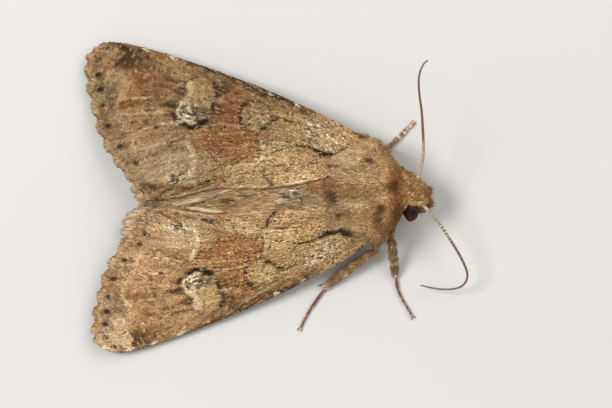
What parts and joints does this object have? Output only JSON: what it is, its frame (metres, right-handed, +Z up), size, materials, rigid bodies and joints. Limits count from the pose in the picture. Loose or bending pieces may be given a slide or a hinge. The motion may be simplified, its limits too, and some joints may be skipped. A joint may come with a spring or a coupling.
{
  "type": "moth",
  "caption": "Owlet moth at rest with roofed, scaly wings, furry thorax, thread-like feelers and spread legs, as a life-size still model.",
  "frame": {"origin": "centre of the whole model's bounding box in plan, on the floor that the feet stand on", "axes": "+X towards the head along the body, +Y towards the moth's left, +Z up"},
  "size_m": [0.0218, 0.0178, 0.0077],
  "materials": {
    "wing": "matt overlapping scales, tan and red-brown with dark and pale marks",
    "hindwing": "matt grey-brown scales with a pale hairy fringe",
    "fur": "dense tan hair-scales",
    "collar": "dense red-brown hair-scales",
    "eye": "dark, glossy and finely faceted",
    "feeler": "ringed brown with pale scales at the base",
    "leg": "brown scales and hair with pale rings"
  },
  "bodies": {
    "root": {"abdomen": "fur", "abdomen_tip": "fur", "antenna_left_base": "feeler", "antenna_left_middle": "feeler", "antenna_left_tip": "feeler", "antenna_right_base": "feeler", "antenna_right_middle": "feeler", "antenna_right_tip": "feeler", "collar": "collar", "eye_left": "eye", "eye_right": "eye", "femur_front_left": "leg", "femur_front_right": "leg", "femur_hind_left": "leg", "femur_hind_right": "leg", "femur_middle_left": "leg", "femur_middle_right": "leg", "forewing_left": "wing", "forewing_right": "wing", "head": "fur", "hindwing_left": "hindwing", "hindwing_right": "hindwing", "palp_left": "fur", "palp_right": "fur", "tarsus_front_left": "leg", "tarsus_front_right": "leg", "tarsus_hind_left": "leg", "tarsus_hind_right": "leg", "tarsus_middle_left": "leg", "tarsus_middle_right": "leg", "tegula_left": "fur", "tegula_right": "fur", "thorax": "fur", "tibia_front_left": "leg", "tibia_front_right": "leg", "tibia_hind_left": "leg", "tibia_hind_right": "leg", "tibia_middle_left": "leg", "tibia_middle_right": "leg"}
  },
  "joints": []
}
